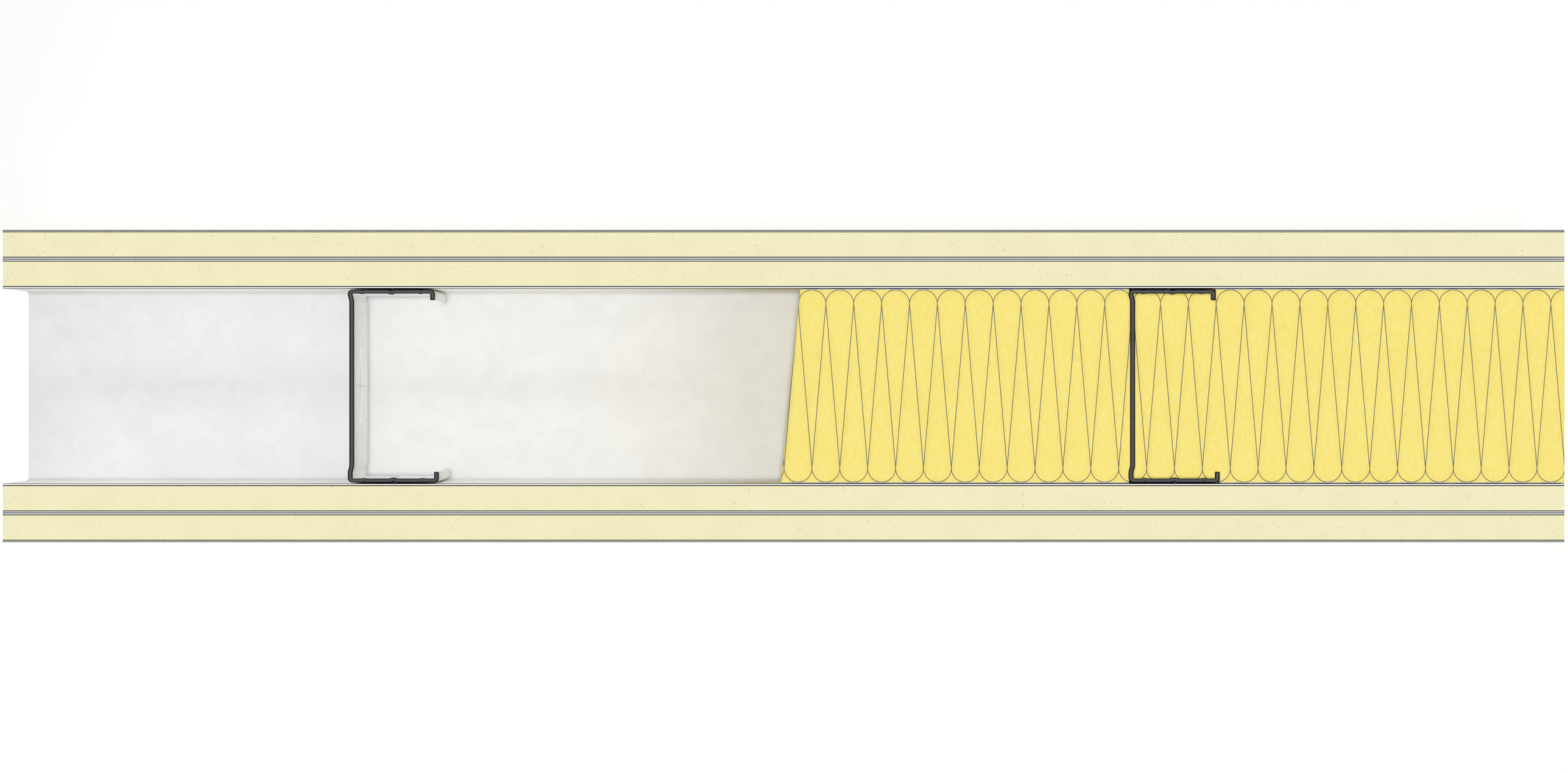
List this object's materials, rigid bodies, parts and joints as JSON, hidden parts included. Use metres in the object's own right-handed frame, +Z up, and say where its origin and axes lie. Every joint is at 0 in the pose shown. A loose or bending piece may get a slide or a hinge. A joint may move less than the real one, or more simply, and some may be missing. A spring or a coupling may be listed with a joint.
{
  "type": "drywall partition wall",
  "caption": "Length of metal-stud partition wall, cut level at the top: gypsum boards on both sides of lipped C-studs in a floor track, with mineral wool in part of the cavity.",
  "frame": {"origin": "on the floor, under the middle of the wall's length and thickness", "axes": "+X along the wall, the way the studs open; +Y through the wall from front to back; +Z up, to the level cut at the top"},
  "size_m": [0.8, 0.16, 0.6],
  "materials": {
    "gypsum_core": "matt plaster",
    "face_paper": "smooth matt",
    "back_paper": "matt",
    "track_steel": "galvanised",
    "stud_steel": "galvanised, dark cut edge",
    "mineral_wool": "fibrous"
  },
  "bodies": {
    "root": {"front_outer_board_face_paper": "face_paper", "front_outer_board_core": "gypsum_core", "front_outer_board_back_paper": "back_paper", "front_inner_board_face_paper": "face_paper", "front_inner_board_core": "gypsum_core", "front_inner_board_back_paper": "back_paper", "back_inner_board_back_paper": "back_paper", "back_inner_board_core": "gypsum_core", "back_inner_board_face_paper": "face_paper", "back_outer_board_back_paper": "back_paper", "back_outer_board_core": "gypsum_core", "back_outer_board_face_paper": "face_paper", "floor_track": "track_steel", "stud_left": "stud_steel", "stud_right": "stud_steel", "wool_batt_left": "mineral_wool", "wool_batt_right": "mineral_wool"}
  },
  "joints": []
}
